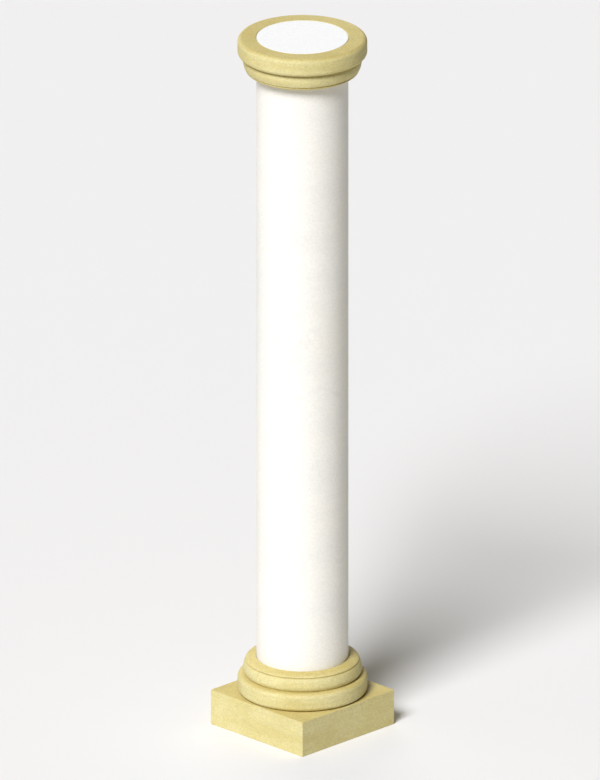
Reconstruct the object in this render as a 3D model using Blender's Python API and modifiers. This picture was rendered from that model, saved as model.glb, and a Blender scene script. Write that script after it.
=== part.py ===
# Round baluster: a square plinth, a straight round shaft, and one turned
# collar that is used twice, at the shaft's foot and upside down at its head.
# The origin is the centre of the plinth's underside, +Z points up and the
# plinth's sides lie along X and Y. Sizes are in metres.

import math

import bpy

# Overall sizes
TOTAL_HEIGHT = 0.800          # floor to rail seat
SHAFT_DIAMETER = 0.100        # the same from end to end

# Plinth, as wide as the ring that stands on it
PLINTH_HEIGHT = 0.040
PLINTH_EASE = 0.0008          # rounding of the block's edges

# Collar: a ring, a narrower bead on it, and a rounded shoulder from the bead in
# to the shaft. The belly is the bead's widest line, nearer the ring than the
# shoulder.
BEAD_PROJECTION = 0.0119      # from the shaft to the bead's two ends
BEAD_HEIGHT = 0.0156
BELLY_BULGE = 0.0027          # from the bead's ends out to its belly
BELLY_HEIGHT = 0.0058         # from the ring up to the belly
RING_OVERHANG = 0.0086        # from the bead's ends out to the ring's wall
RING_HEIGHT = 0.0205
RING_EDGE_RADIUS = 0.005
SHOULDER_HEIGHT = 0.0043

# Fits and fine edges
JOINT_GAP = 0.0003            # bed or bond between two pieces
SHAFT_EASE = 0.0006           # rounding of the shaft's end edges
BORE_EASE = 0.0006            # chamfer of the collar's bore edges

# Fineness of the round faces
STEPS_AROUND = 64
EDGE_STEPS = 5
LOWER_BEAD_STEPS = 4
UPPER_BEAD_STEPS = 5
SHOULDER_STEPS = 6
EASE_STEPS = 2
SHARP_ANGLE = math.radians(30)

# Finishes: colour, roughness
CREAM_STONE = ((0.80, 0.70, 0.35, 1.0), 0.75)
WHITE_STONE = ((0.88, 0.88, 0.86, 1.0), 0.60)

QUARTER_TURN = math.pi / 2
FULL_TURN = 2 * math.pi


def clear_scene():
    for obj in list(bpy.data.objects):
        bpy.data.objects.remove(obj, do_unlink=True)


def make_collection(name):
    collection = bpy.data.collections.new(name)
    bpy.context.scene.collection.children.link(collection)
    return collection


def make_material(name, finish):
    colour, roughness = finish
    material = bpy.data.materials.new(name)
    material.use_nodes = True
    shader = material.node_tree.nodes["Principled BSDF"]
    shader.inputs["Base Color"].default_value = colour
    shader.inputs["Roughness"].default_value = roughness
    shader.inputs["Metallic"].default_value = 0.0
    material.diffuse_color = colour
    return material


def arc(centre, radius, start, end, steps):
    """Points (x, z) on a circle between two angles, both ends included."""
    points = []
    for step in range(steps + 1):
        angle = start + (end - start) * step / steps
        x = centre[0] + radius * math.cos(angle)
        z = centre[1] + radius * math.sin(angle)
        points.append((x, z))
    return points


def shoulder_profile(inner_radius, outer_radius, bottom):
    """A quarter of an ellipse, level at the shaft and upright where it meets the bead."""
    points = []
    for step in range(SHOULDER_STEPS + 1):
        angle = QUARTER_TURN * step / SHOULDER_STEPS
        x = inner_radius + (outer_radius - inner_radius) * math.sin(angle)
        z = bottom + SHOULDER_HEIGHT * math.cos(angle)
        points.append((x, z))
    return points


def bead_profile(end_radius, bottom):
    """The bead from its upper end to the ring: two arcs that meet upright at the belly."""
    belly_radius = end_radius + BELLY_BULGE
    belly_z = bottom + BELLY_HEIGHT
    upper_height = BEAD_HEIGHT - BELLY_HEIGHT
    upper_radius = (upper_height ** 2 + BELLY_BULGE ** 2) / (2 * BELLY_BULGE)
    lower_radius = (BELLY_HEIGHT ** 2 + BELLY_BULGE ** 2) / (2 * BELLY_BULGE)
    upper_angle = math.asin(upper_height / upper_radius)
    lower_angle = math.asin(BELLY_HEIGHT / lower_radius)
    upper_centre = (belly_radius - upper_radius, belly_z)
    lower_centre = (belly_radius - lower_radius, belly_z)
    upper = arc(upper_centre, upper_radius, upper_angle, 0.0, UPPER_BEAD_STEPS)
    lower = arc(lower_centre, lower_radius, 0.0, -lower_angle, LOWER_BEAD_STEPS)
    return upper + lower[1:]


def ring_profile(wall_radius):
    """The ring's outer side, from its upper edge's rounding to its lower one's."""
    edge_x = wall_radius - RING_EDGE_RADIUS
    upper_centre = (edge_x, RING_HEIGHT - RING_EDGE_RADIUS)
    lower_centre = (edge_x, RING_EDGE_RADIUS)
    upper = arc(upper_centre, RING_EDGE_RADIUS, QUARTER_TURN, 0.0, EDGE_STEPS)
    lower = arc(lower_centre, RING_EDGE_RADIUS, 0.0, -QUARTER_TURN, EDGE_STEPS)
    return upper + lower


def collar_profile(shaft_radius):
    """Closed outline: down the collar's outer side, then up its bore."""
    bore = shaft_radius + JOINT_GAP
    bead_end = shaft_radius + BEAD_PROJECTION
    bead_top = RING_HEIGHT + BEAD_HEIGHT
    top = bead_top + SHOULDER_HEIGHT
    shoulder = shoulder_profile(bore + BORE_EASE, bead_end, bead_top)
    bead = bead_profile(bead_end, RING_HEIGHT)
    ring = ring_profile(bead_end + RING_OVERHANG)
    bore_side = [(bore + BORE_EASE, 0.0), (bore, BORE_EASE), (bore, top - BORE_EASE)]
    return shoulder + bead[1:] + ring + bore_side


def shade_round(mesh):
    mesh.shade_smooth()
    mesh.set_sharp_from_angle(angle=SHARP_ANGLE)


def turned_mesh(name, profile):
    """Turns a closed outline round Z and returns the ring-shaped mesh."""
    outline = bpy.data.meshes.new(name + "_outline")
    points = [(x, 0.0, z) for x, z in profile]
    edges = [(index, (index + 1) % len(points)) for index in range(len(points))]
    outline.from_pydata(points, edges, [])
    lathe = bpy.data.objects.new(name, outline)
    bpy.context.scene.collection.objects.link(lathe)
    screw = lathe.modifiers.new("Turned", "SCREW")
    screw.axis = "Z"
    screw.angle = FULL_TURN
    screw.steps = STEPS_AROUND
    screw.render_steps = STEPS_AROUND
    turned = lathe.evaluated_get(bpy.context.evaluated_depsgraph_get())
    mesh = bpy.data.meshes.new_from_object(turned)
    mesh.name = name
    bpy.data.objects.remove(lathe, do_unlink=True)
    bpy.data.meshes.remove(outline)
    shade_round(mesh)
    return mesh


def add_eased_edges(obj, width):
    bevel = obj.modifiers.new("Eased edges", "BEVEL")
    bevel.width = width
    bevel.segments = EASE_STEPS
    bevel.limit_method = "ANGLE"
    bevel.angle_limit = SHARP_ANGLE


def name_and_place(obj, name, collection):
    """Names a new primitive and moves it into the part's collection."""
    obj.name = name
    obj.data.name = name
    for owner in list(obj.users_collection):
        owner.objects.unlink(obj)
    collection.objects.link(obj)


def make_plinth(width, material, collection):
    bpy.ops.mesh.primitive_cube_add(size=1.0, location=(0.0, 0.0, PLINTH_HEIGHT / 2))
    plinth = bpy.context.object
    plinth.scale = (width, width, PLINTH_HEIGHT)
    bpy.ops.object.transform_apply(location=False, rotation=False, scale=True)
    name_and_place(plinth, "plinth", collection)
    plinth.data.materials.append(material)
    add_eased_edges(plinth, PLINTH_EASE)


def make_shaft(radius, bottom, top, material, collection):
    bpy.ops.mesh.primitive_cylinder_add(
        vertices=STEPS_AROUND,
        radius=radius,
        depth=top - bottom,
        location=(0.0, 0.0, (bottom + top) / 2),
    )
    shaft = bpy.context.object
    name_and_place(shaft, "shaft", collection)
    shaft.data.materials.append(material)
    shade_round(shaft.data)
    add_eased_edges(shaft, SHAFT_EASE)


def make_collar(name, mesh, ring_face_z, turned_over, collection):
    """The flat face of the ring lies at ring_face_z; turned over, the bead is below it."""
    collar = bpy.data.objects.new(name, mesh)
    collection.objects.link(collar)
    collar.location.z = ring_face_z
    collar.rotation_euler.x = math.pi if turned_over else 0.0


def build():
    clear_scene()
    parts = make_collection("round_baluster")
    cream = make_material("cream_stone", CREAM_STONE)
    white = make_material("white_stone", WHITE_STONE)

    shaft_radius = SHAFT_DIAMETER / 2
    plinth_width = 2 * (shaft_radius + BEAD_PROJECTION + RING_OVERHANG)
    bed = PLINTH_HEIGHT + JOINT_GAP

    make_plinth(plinth_width, cream, parts)
    make_shaft(shaft_radius, bed, TOTAL_HEIGHT, white, parts)
    collar = turned_mesh("collar", collar_profile(shaft_radius))
    collar.materials.append(cream)
    make_collar("base_collar", collar, bed, False, parts)
    make_collar("capital_collar", collar, TOTAL_HEIGHT, True, parts)


build()
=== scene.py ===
import math

import bmesh
import bpy
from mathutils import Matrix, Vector


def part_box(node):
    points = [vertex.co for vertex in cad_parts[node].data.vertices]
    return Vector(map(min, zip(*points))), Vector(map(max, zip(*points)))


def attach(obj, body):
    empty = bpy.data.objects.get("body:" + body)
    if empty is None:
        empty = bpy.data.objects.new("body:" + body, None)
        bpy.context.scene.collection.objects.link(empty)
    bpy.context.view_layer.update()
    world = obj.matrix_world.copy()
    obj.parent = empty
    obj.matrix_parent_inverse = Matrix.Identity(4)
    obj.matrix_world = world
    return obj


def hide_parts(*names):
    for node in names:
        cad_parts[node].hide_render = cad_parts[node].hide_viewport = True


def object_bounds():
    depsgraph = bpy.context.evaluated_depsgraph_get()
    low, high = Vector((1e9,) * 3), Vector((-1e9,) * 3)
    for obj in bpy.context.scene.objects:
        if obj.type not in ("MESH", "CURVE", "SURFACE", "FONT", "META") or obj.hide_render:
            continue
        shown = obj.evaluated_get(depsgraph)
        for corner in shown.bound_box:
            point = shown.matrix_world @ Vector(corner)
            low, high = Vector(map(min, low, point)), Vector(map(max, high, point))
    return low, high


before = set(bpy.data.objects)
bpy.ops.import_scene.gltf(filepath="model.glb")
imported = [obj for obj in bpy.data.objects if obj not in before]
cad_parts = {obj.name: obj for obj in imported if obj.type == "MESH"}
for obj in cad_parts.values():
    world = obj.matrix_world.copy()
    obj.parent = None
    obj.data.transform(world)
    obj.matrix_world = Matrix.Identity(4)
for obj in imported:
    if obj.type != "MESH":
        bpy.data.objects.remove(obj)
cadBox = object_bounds()
up = Vector((0, 0, 1))


def link(obj):
    bpy.context.scene.collection.objects.link(obj)
    return obj


def towards(azimuth, elevation):
    # direction from the object to something at that azimuth and elevation, in degrees
    turn = math.radians(azimuth)
    rise = math.radians(elevation)
    return Vector((math.sin(turn) * math.cos(rise), -math.cos(turn) * math.cos(rise), math.sin(rise)))


def aimBack(obj, direction):
    # turns a camera or lamp that stands out along direction to face the object
    obj.rotation_euler = (-direction).to_track_quat("-Z", "Y").to_euler()


# A corner of the plinth faces the viewer, seen from a little above with no perspective
view = {
    "azimuth": 45.0,              # degrees, 0 looks along +Y
    "elevation": 21.25,           # degrees above the floor
    "picture": (600, 780),        # width and height in pixels
    "footPixel": (302.4, 723.9),  # where the middle of the underside lands
    "headPixelY": 37.05,          # height at which the middle of the shaft's end lands
    "distance": 4.0,              # metres out to the camera and the lamps
    "clip": (0.1, 40.0),          # nearest and farthest that the camera sees, in metres
}


def makeCamera():
    width, height = view["picture"]
    footX, footY = view["footPixel"]
    footZ, headZ = cadBox[0].z, cadBox[1].z
    direction = towards(view["azimuth"], view["elevation"])
    flattening = math.cos(math.radians(view["elevation"]))
    metresPerPixel = (headZ - footZ) * flattening / (footY - view["headPixelY"])
    middleZ = footZ + (footY - height / 2) * metresPerPixel / flattening
    right = up.cross(direction).normalized()
    aside = (footX - width / 2) * metresPerPixel
    data = bpy.data.cameras.new("camera")
    data.type = "ORTHO"
    data.ortho_scale = max(width, height) * metresPerPixel
    data.clip_start, data.clip_end = view["clip"]
    camera = link(bpy.data.objects.new("camera", data))
    camera.location = up * middleZ - right * aside + direction * view["distance"]
    aimBack(camera, direction)
    bpy.context.scene.camera = camera


# Soft suns, all angles in degrees. Azimuth is counted from the camera, minus is to the left,
# and softness is how wide the sun looks.
lights = {
    "keyLight": {
        "azimuth": -25,
        "elevation": 46,
        "softness": 24,
        "strength": 3.85,
        "colour": (1.0, 1.005, 1.10),
    },
    "sideLight": {
        "azimuth": -80,
        "elevation": 30,
        "softness": 50,
        "strength": 0.18,
        "colour": (1.0, 1.0, 1.05),
    },
    "backLight": {
        "azimuth": 190,
        "elevation": 11,
        "softness": 44,
        "strength": 1.55,
        "colour": (1.0, 0.97, 0.90),
    },
}


def makeLights():
    for name, lamp in lights.items():
        data = bpy.data.lights.new(name, "SUN")
        data.energy = lamp["strength"]
        data.angle = math.radians(lamp["softness"])
        data.color = lamp["colour"]
        sun = link(bpy.data.objects.new(name, data))
        direction = towards(view["azimuth"] + lamp["azimuth"], lamp["elevation"])
        sun.location = direction * view["distance"]
        aimBack(sun, direction)


room = {
    "ambient": (0.025, 0.021, 0.012),     # light from all round
    "backdrop": (0.860, 0.855, 0.850),    # seen past the floor's edge in low views, lights nothing
    "floorColour": (0.847, 0.839, 0.786),
    "floorRoughness": 0.9,
    "floorGloss": 0.1,                    # specular level, 0.5 is ordinary
    "floorRadius": 8.0,                   # metres
    "floorSides": 96,
}


def makeBackdrop():
    # the camera sees the pale backdrop, and the ambient colour lights the scene
    world = bpy.data.worlds.new("studio")
    world.use_nodes = True
    tree = world.node_tree
    rays = addNode(tree, "ShaderNodeLightPath")
    colour = mixColours(tree, rays.outputs["Is Camera Ray"], room["ambient"], room["backdrop"])
    tree.links.new(colour, tree.nodes["Background"].inputs["Color"])
    bpy.context.scene.world = world
    bpy.context.scene.view_settings.view_transform = "Standard"


def makeFloor():
    material, shader = startMaterial("palePaper")
    shader.inputs["Base Color"].default_value = (*room["floorColour"], 1)
    shader.inputs["Roughness"].default_value = room["floorRoughness"]
    shader.inputs["Specular IOR Level"].default_value = room["floorGloss"]
    bm = bmesh.new()
    bmesh.ops.create_circle(bm, cap_ends=True, segments=room["floorSides"], radius=room["floorRadius"])
    mesh = bpy.data.meshes.new("floor")
    bm.to_mesh(mesh)
    bm.free()
    mesh.materials.append(material)
    floor = link(bpy.data.objects.new("floor", mesh))
    floor.location.z = cadBox[0].z


# Small helpers for the stone materials. A noise texture is given by its detail and roughness,
# and nearly all of its values lie within noiseSpan.
softNoise = (2.0, 0.5)
noiseSpan = (0.3, 0.7)
noiseMiddle = 0.5


def startMaterial(name):
    material = bpy.data.materials.new(name)
    material.use_nodes = True
    return material, material.node_tree.nodes["Principled BSDF"]


def addNode(tree, kind, values=None, **settings):
    node = tree.nodes.new(kind)
    for key, value in settings.items():
        setattr(node, key, value)
    for key, value in (values or {}).items():
        node.inputs[key].default_value = value
    return node


def placeTexture(tree, shift):
    # the piece's own coordinates in metres, moved so that no two pieces match
    coords = addNode(tree, "ShaderNodeTexCoord")
    mapping = addNode(tree, "ShaderNodeMapping", {"Location": shift})
    tree.links.new(coords.outputs["Object"], mapping.inputs["Vector"])
    return mapping.outputs["Vector"]


def stretched(tree, where, thickness, length):
    # lengthens a texture along X and Y, so that it lies in level beds
    flatness = thickness / length
    node = addNode(tree, "ShaderNodeVectorMath", operation="MULTIPLY")
    tree.links.new(where, node.inputs[0])
    node.inputs[1].default_value = (flatness, flatness, 1)
    return node.outputs["Vector"]


def noiseNode(tree, where, size, character):
    detail, rough = character
    node = addNode(tree, "ShaderNodeTexNoise", {"Scale": 1 / size, "Detail": detail, "Roughness": rough})
    tree.links.new(where, node.inputs["Vector"])
    return node


def noise(tree, where, size, character=softNoise):
    return noiseNode(tree, where, size, character).outputs["Fac"]


def warp(tree, where, size, amount):
    # bends a texture by up to amount, so that its beds wander
    bend = noiseNode(tree, where, size, softNoise)
    node = addNode(tree, "ShaderNodeVectorMath", operation="MULTIPLY_ADD")
    tree.links.new(bend.outputs["Color"], node.inputs[0])
    node.inputs[1].default_value = (amount, amount, amount)
    tree.links.new(where, node.inputs[2])
    return node.outputs["Vector"]


def cells(tree, where, size):
    # rounded cells: distance from each cell's middle, and a random colour for each cell
    node = addNode(tree, "ShaderNodeTexVoronoi", {"Scale": 1 / size})
    tree.links.new(where, node.inputs["Vector"])
    return node.outputs["Distance"], node.outputs["Color"]


def spread(tree, value, span, onto=(0, 1)):
    # stretches the part of a value that lies in span over the range onto
    node = addNode(tree, "ShaderNodeMapRange", {
        "From Min": span[0], "From Max": span[1], "To Min": onto[0], "To Max": onto[1]})
    tree.links.new(value, node.inputs["Value"])
    return node.outputs["Result"]


def calculate(tree, operation, *values):
    # each value is a node's output or a plain number
    node = addNode(tree, "ShaderNodeMath", operation=operation)
    for socket, value in zip(node.inputs, values):
        if isinstance(value, (int, float)):
            socket.default_value = value
        else:
            tree.links.new(value, socket)
    return node.outputs["Value"]


def mixColours(tree, share, first, second, blend="MIX"):
    # share, first and second are each a node's output or plain numbers
    node = addNode(tree, "ShaderNodeMix", data_type="RGBA", blend_type=blend)
    sockets = {socket.identifier: socket for socket in node.inputs}
    for name, value in (("Factor_Float", share), ("A_Color", first), ("B_Color", second)):
        if isinstance(value, tuple):
            sockets[name].default_value = (*value, 1)
        elif isinstance(value, (int, float)):
            sockets[name].default_value = value
        else:
            tree.links.new(value, sockets[name])
    return next(socket for socket in node.outputs if socket.identifier == "Result_Color")


def levelness(tree):
    # 1 on faces that lie level, 0 on upright ones
    coords = addNode(tree, "ShaderNodeTexCoord")
    axes = addNode(tree, "ShaderNodeSeparateXYZ")
    tree.links.new(coords.outputs["Normal"], axes.inputs["Vector"])
    return calculate(tree, "ABSOLUTE", axes.outputs["Z"])


def shadeBy(tree, colour, value, contrast):
    # lightens and darkens a colour by half the contrast each way
    grey = spread(tree, value, noiseSpan, (1 - contrast / 2, 1 + contrast / 2))
    node = addNode(tree, "ShaderNodeCombineColor")
    for channel in ("Red", "Green", "Blue"):
        tree.links.new(grey, node.inputs[channel])
    return mixColours(tree, 1, colour, node.outputs["Color"], "MULTIPLY")


def addRelief(tree, shader, height, depth):
    bump = addNode(tree, "ShaderNodeBump", {"Strength": 1, "Distance": depth})
    tree.links.new(height, bump.inputs["Height"])
    tree.links.new(bump.outputs["Normal"], shader.inputs["Normal"])


# Round spots, such as specks and flecks
spot = {
    "core": 0.4,           # part of a spot's radius that is at full strength
    "chanceStep": 0.08,    # how softly the chance picks one spot and drops the next
}


def makeSpots(tree, where, spacing, radius, share):
    # 1 in the middle of a spot, 0 between them; a higher share keeps more of the possible spots
    size = radius / spacing
    distance, chance = cells(tree, where, spacing)
    shape = spread(tree, distance, (size, size * spot["core"]))
    kept = spread(tree, chance, (share, share - spot["chanceStep"]))
    return calculate(tree, "MULTIPLY", shape, kept)


# Fine cream-yellow stone, rubbed smooth. Sizes in metres, colours linear. A span gives the two
# values of a texture, or of levelness, between which its effect comes in.
creamStone = {
    "straw": (0.639, 0.560, 0.234),
    "pale": (0.690, 0.616, 0.291),
    "ochre": (0.577, 0.475, 0.161),
    "paintedTopShade": (0.895, 0.842, 0.668),    # painted shade: multiplies level faces darker and more orange
    "paintedTopShadeSpan": (0.40, 0.95),
    "broadNoise": (3, 0.6),              # for the patches, beds and streaks
    "patchSize": 0.045,
    "patchSpan": (0.36, 0.64),
    "bedThickness": 0.011,
    "bedLength": 0.110,
    "bedSpan": (0.42, 0.66),
    "bedShare": 0.42,                    # how much ochre shows in the broad beds
    "streakThickness": 0.0022,
    "streakLength": 0.040,
    "streakContrast": 0.055,
    "waviness": 0.010,                   # how far the beds wander
    "sandSize": 0.0010,
    "sandContrast": 0.15,
    "sandHeight": 0.5,                   # of a sand grain, next to the depth of a speck
    "mottleNoise": (4, 0.65),
    "mottleSize": 0.0060,
    "mottleContrast": 0.08,
    "speckSpacing": 0.0050,
    "speckRadius": 0.0007,
    "speckShare": 0.28,
    "speckColour": (0.300, 0.205, 0.060),
    "speckTint": 0.50,
    "fleckSpacing": 0.0042,
    "fleckLength": 0.0034,               # pale bits of shell, which lie level like lenses
    "fleckThickness": 0.0011,
    "fleckShare": 0.34,
    "fleckColour": (0.770, 0.708, 0.420),
    "fleckTint": 0.40,
    "roughness": (0.66, 0.82),
    "relief": 0.00014,
}


def makeCreamStone(name, shift):
    stone = creamStone
    material, shader = startMaterial(name)
    tree = material.node_tree
    where = placeTexture(tree, shift)
    wavy = warp(tree, where, stone["patchSize"], stone["waviness"])
    inBeds = stretched(tree, wavy, stone["bedThickness"], stone["bedLength"])
    inStreaks = stretched(tree, wavy, stone["streakThickness"], stone["streakLength"])
    inLenses = stretched(tree, where, stone["fleckThickness"], stone["fleckLength"])

    patches = noise(tree, where, stone["patchSize"], stone["broadNoise"])
    beds = noise(tree, inBeds, stone["bedThickness"], stone["broadNoise"])
    streaks = noise(tree, inStreaks, stone["streakThickness"], stone["broadNoise"])
    mottle = noise(tree, where, stone["mottleSize"], stone["mottleNoise"])
    sandDistance, sandTone = cells(tree, where, stone["sandSize"])
    specks = makeSpots(tree, where, stone["speckSpacing"], stone["speckRadius"], stone["speckShare"])
    flecks = makeSpots(tree, inLenses, stone["fleckSpacing"], stone["fleckThickness"], stone["fleckShare"])

    paleShare = spread(tree, patches, stone["patchSpan"])
    ochreShare = spread(tree, beds, stone["bedSpan"], (0, stone["bedShare"]))
    fleckShare = calculate(tree, "MULTIPLY", flecks, stone["fleckTint"])
    speckShare = calculate(tree, "MULTIPLY", specks, stone["speckTint"])
    # painted shade: how much of the darker, more orange tint each face takes, full on level faces
    paintedTopShadeShare = spread(tree, levelness(tree), stone["paintedTopShadeSpan"])

    colour = mixColours(tree, paleShare, stone["straw"], stone["pale"])
    colour = mixColours(tree, ochreShare, colour, stone["ochre"])
    colour = shadeBy(tree, colour, streaks, stone["streakContrast"])
    colour = shadeBy(tree, colour, mottle, stone["mottleContrast"])
    colour = shadeBy(tree, colour, sandTone, stone["sandContrast"])
    colour = mixColours(tree, fleckShare, colour, stone["fleckColour"])
    colour = mixColours(tree, speckShare, colour, stone["speckColour"])
    # painted shade: level faces are multiplied darker and more orange
    colour = mixColours(tree, paintedTopShadeShare, colour, stone["paintedTopShade"], "MULTIPLY")
    tree.links.new(colour, shader.inputs["Base Color"])
    tree.links.new(spread(tree, mottle, noiseSpan, stone["roughness"]), shader.inputs["Roughness"])

    sand = calculate(tree, "MULTIPLY", sandDistance, -stone["sandHeight"])
    addRelief(tree, shader, calculate(tree, "SUBTRACT", sand, specks), stone["relief"])
    return material


# Fine white stone, honed round its side and sawn at its ends. Sizes in metres, colours linear.
whiteStone = {
    "white": (0.894, 0.868, 0.768),
    "cloud": (0.856, 0.836, 0.750),
    "warm": (0.890, 0.855, 0.735),
    "sawnEndPaintedLight": (0.911, 0.924, 0.861),    # the ends, sawn and left rougher; their lighter, less warm colour is painted light
    "sawnEndAndPaintedLightSpan": (0.90, 0.99),
    "sawnRoughness": 0.85,
    "cloudNoise": (4, 0.55),             # for the clouds and the veins
    "cloudSize": 0.050,
    "cloudLength": 0.120,
    "cloudSpan": (0.42, 0.66),
    "warmSize": 0.120,
    "warmSpan": (0.45, 0.65),
    "warmShare": 0.5,
    "waviness": 0.030,                   # how far the clouds and veins wander
    "veinSize": 0.085,
    "veinWidth": 0.020,                  # how far from the noise's middle a vein reaches
    "veinFadeSize": 0.068,
    "veinFadeSpan": (0.50, 0.66),
    "veinTint": 0.16,
    "veinColour": (0.560, 0.550, 0.515),
    "crystalSize": 0.0015,
    "crystalContrast": 0.05,
    "roughness": (0.40, 0.58),
    "relief": 0.00004,
}


def makeVeins(tree, where):
    # thin soft lines where a slow noise crosses its middle, fading in and out
    slow = noise(tree, where, whiteStone["veinSize"], whiteStone["cloudNoise"])
    away = calculate(tree, "ABSOLUTE", calculate(tree, "SUBTRACT", slow, noiseMiddle))
    line = spread(tree, away, (whiteStone["veinWidth"], 0))
    fade = spread(tree, noise(tree, where, whiteStone["veinFadeSize"]), whiteStone["veinFadeSpan"])
    return calculate(tree, "MULTIPLY", line, fade)


def makeWhiteStone(name, shift):
    stone = whiteStone
    material, shader = startMaterial(name)
    tree = material.node_tree
    where = placeTexture(tree, shift)
    wavy = warp(tree, where, stone["cloudSize"], stone["waviness"])
    drift = stretched(tree, wavy, stone["cloudSize"], stone["cloudLength"])

    clouds = noise(tree, drift, stone["cloudSize"], stone["cloudNoise"])
    warmth = noise(tree, where, stone["warmSize"])
    crystalDistance, crystalTone = cells(tree, where, stone["crystalSize"])

    cloudShare = spread(tree, clouds, stone["cloudSpan"])
    warmShare = spread(tree, warmth, stone["warmSpan"], (0, stone["warmShare"]))
    veinShare = calculate(tree, "MULTIPLY", makeVeins(tree, wavy), stone["veinTint"])
    # level ends: a rougher sawn finish, and painted light that makes their colour lighter and less warm
    sawnEndAndPaintedLightShare = spread(tree, levelness(tree), stone["sawnEndAndPaintedLightSpan"])

    colour = mixColours(tree, cloudShare, stone["white"], stone["cloud"])
    colour = mixColours(tree, warmShare, colour, stone["warm"])
    colour = mixColours(tree, veinShare, colour, stone["veinColour"])
    # painted light: the level ends take a lighter, less warm colour
    colour = mixColours(tree, sawnEndAndPaintedLightShare, colour, stone["sawnEndPaintedLight"])
    colour = shadeBy(tree, colour, crystalTone, stone["crystalContrast"])
    tree.links.new(colour, shader.inputs["Base Color"])

    honed = spread(tree, crystalTone, (0, 1), stone["roughness"])
    sawn = calculate(tree, "MULTIPLY", sawnEndAndPaintedLightShare, stone["sawnRoughness"])
    tree.links.new(calculate(tree, "MAXIMUM", honed, sawn), shader.inputs["Roughness"])
    addRelief(tree, shader, crystalDistance, stone["relief"])
    return material


# Shapes

sharpAngle = math.radians(15)    # edges that turn more than this stay crisp
quarterTurn = math.pi / 2
fullTurn = math.pi * 2
roundProfile = 0.5               # bevels an edge to a part of a circle


def finishMesh(bm, name):
    bmesh.ops.recalc_face_normals(bm, faces=bm.faces[:])
    for face in bm.faces:
        face.smooth = True
    for line in bm.edges:
        line.smooth = line.calc_face_angle(0) < sharpAngle
    mesh = bpy.data.meshes.new(name)
    bm.to_mesh(mesh)
    bm.free()
    return mesh


def addPiece(name, bm, material, node):
    mesh = finishMesh(bm, name)
    mesh.materials.append(material)
    piece = link(bpy.data.objects.new(name, mesh))
    evenShading = piece.modifiers.new("Even shading", "WEIGHTED_NORMAL")
    evenShading.keep_sharp = True
    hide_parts(node)
    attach(piece, "root")
    return piece


# Turned collar, the same at foot and head: a ring, a bead on it and a shoulder in to the shaft
collar = {
    "ringHeight": 0.0205,
    "ringEdgeRadius": 0.005,
    "ringOverhang": 0.0086,      # from the bead's ends out to the ring's wall
    "beadHeight": 0.0156,
    "bellyBulge": 0.0027,        # from the bead's ends out to its belly
    "bellyHeight": 0.0058,       # from the ring up to the belly
    "quirkWidth": 0.0014,        # fine V cut that parts the bead from the shoulder
    "quirkDepth": 0.0012,
    "jointGap": 0.0003,          # between the bore and the shaft
    "boreEase": 0.0006,
    "arcSteps": 16,
    "stepsAround": 192,
    "baseShift": (3.1, 1.7, 0.4),       # where the stone's texture starts
    "capitalShift": (7.3, 4.9, 2.2),
}


def arc(centre, radius, start, end):
    points = []
    for step in range(collar["arcSteps"] + 1):
        angle = start + (end - start) * step / collar["arcSteps"]
        points.append((centre[0] + radius * math.cos(angle), centre[1] + radius * math.sin(angle)))
    return points


def shoulderOutline(innerRadius, outerRadius, bottom, top):
    # a quarter of an ellipse, level at the shaft and upright at the bead, less half the quirk
    stop = math.acos(collar["quirkWidth"] / 2 / (top - bottom))
    points = []
    for step in range(collar["arcSteps"] + 1):
        angle = stop * step / collar["arcSteps"]
        x = innerRadius + (outerRadius - innerRadius) * math.sin(angle)
        points.append((x, bottom + (top - bottom) * math.cos(angle)))
    return points


def beadOutline(endRadius, bottom):
    # two arcs that meet upright at the belly, less half the quirk at the upper end
    bulge = collar["bellyBulge"]
    lowerHeight = collar["bellyHeight"]
    upperHeight = collar["beadHeight"] - lowerHeight
    bellyZ = bottom + lowerHeight
    upperRadius = (upperHeight ** 2 + bulge ** 2) / (2 * bulge)
    lowerRadius = (lowerHeight ** 2 + bulge ** 2) / (2 * bulge)
    upperAngle = math.asin((upperHeight - collar["quirkWidth"] / 2) / upperRadius)
    lowerAngle = math.asin(lowerHeight / lowerRadius)
    upper = arc((endRadius + bulge - upperRadius, bellyZ), upperRadius, upperAngle, 0)
    lower = arc((endRadius + bulge - lowerRadius, bellyZ), lowerRadius, 0, -lowerAngle)
    return upper + lower[1:]


def collarOutline(shaftRadius, ringRadius, height):
    # down the outer side from the shaft, then back up the bore
    boreRadius = shaftRadius + collar["jointGap"]
    ease = collar["boreEase"]
    edge = collar["ringEdgeRadius"]
    ringTop = collar["ringHeight"]
    beadTop = ringTop + collar["beadHeight"]
    beadEnd = ringRadius - collar["ringOverhang"]
    points = shoulderOutline(boreRadius + ease, beadEnd, beadTop, height)
    points.append((beadEnd - collar["quirkDepth"], beadTop))
    points += beadOutline(beadEnd, ringTop)
    points += arc((ringRadius - edge, ringTop - edge), edge, quarterTurn, 0)
    points += arc((ringRadius - edge, edge), edge, 0, -quarterTurn)
    points += [(boreRadius + ease, 0), (boreRadius, ease), (boreRadius, height - ease)]
    return points


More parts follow.
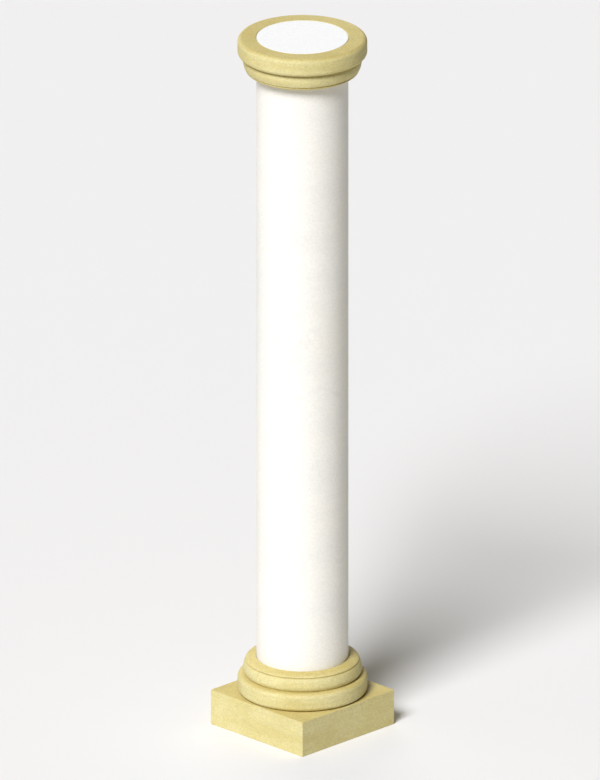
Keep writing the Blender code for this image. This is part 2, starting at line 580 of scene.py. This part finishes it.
def makeCollar(name, node, material, turnedOver):
    low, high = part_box(node)
    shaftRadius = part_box("shaft")[1].x
    points = collarOutline(shaftRadius, high.x, high.z - low.z)
    bm = bmesh.new()
    verts = [bm.verts.new((x, 0, z)) for x, z in points]
    lines = [bm.edges.new((verts[i - 1], verts[i])) for i in range(len(verts))]
    bmesh.ops.spin(bm, geom=verts + lines, cent=(0, 0, 0), axis=up, dvec=(0, 0, 0),
                   angle=fullTurn, steps=collar["stepsAround"], use_merge=True)
    piece = addPiece(name, bm, material, node)
    piece.location.z = high.z if turnedOver else low.z
    piece.rotation_euler.x = math.pi if turnedOver else 0


# Straight round shaft, the same from end to end
shaft = {
    "ease": 0.0006,              # rounding of the end edges
    "easeSteps": 4,
    "stepsAround": 192,
    "stoneShift": (1.3, 0.6, 0.2),      # where the stone's texture starts
}


def makeShaft(material):
    low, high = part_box("shaft")
    bm = bmesh.new()
    bmesh.ops.create_cone(bm, cap_ends=True, segments=shaft["stepsAround"],
                          radius1=high.x, radius2=high.x, depth=high.z - low.z)
    rims = [line for line in bm.edges if line.calc_face_angle(0) > sharpAngle]
    bmesh.ops.bevel(bm, geom=rims, offset=shaft["ease"], segments=shaft["easeSteps"],
                    profile=roundProfile, affect="EDGES")
    piece = addPiece("roundShaft", bm, material, "shaft")
    piece.location.z = (low.z + high.z) / 2


# Square block at the foot
plinth = {
    "ease": 0.0008,              # rounding of the block's edges
    "easeSteps": 4,
    "stoneShift": (0, 0, 0),     # where the stone's texture starts
}


def makePlinth(material):
    low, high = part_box("plinth")
    bm = bmesh.new()
    bmesh.ops.create_cube(bm, size=1)
    bmesh.ops.scale(bm, vec=high - low, verts=bm.verts[:])
    bmesh.ops.bevel(bm, geom=bm.edges[:], offset=plinth["ease"], segments=plinth["easeSteps"],
                    profile=roundProfile, affect="EDGES")
    piece = addPiece("squarePlinth", bm, material, "plinth")
    piece.location = (low + high) / 2


makeCamera()
makeLights()
makeBackdrop()
makeFloor()
print("studio ready")

makePlinth(makeCreamStone("creamStonePlinth", plinth["stoneShift"]))
baseStone = makeCreamStone("creamStoneBase", collar["baseShift"])
makeCollar("baseCollar", "base_collar", baseStone, turnedOver=False)
capitalStone = makeCreamStone("creamStoneCapital", collar["capitalShift"])
makeCollar("capitalCollar", "capital_collar", capitalStone, turnedOver=True)
print("plinth and collars ready")

makeShaft(makeWhiteStone("whiteStoneShaft", shaft["stoneShift"]))
print("shaft ready")
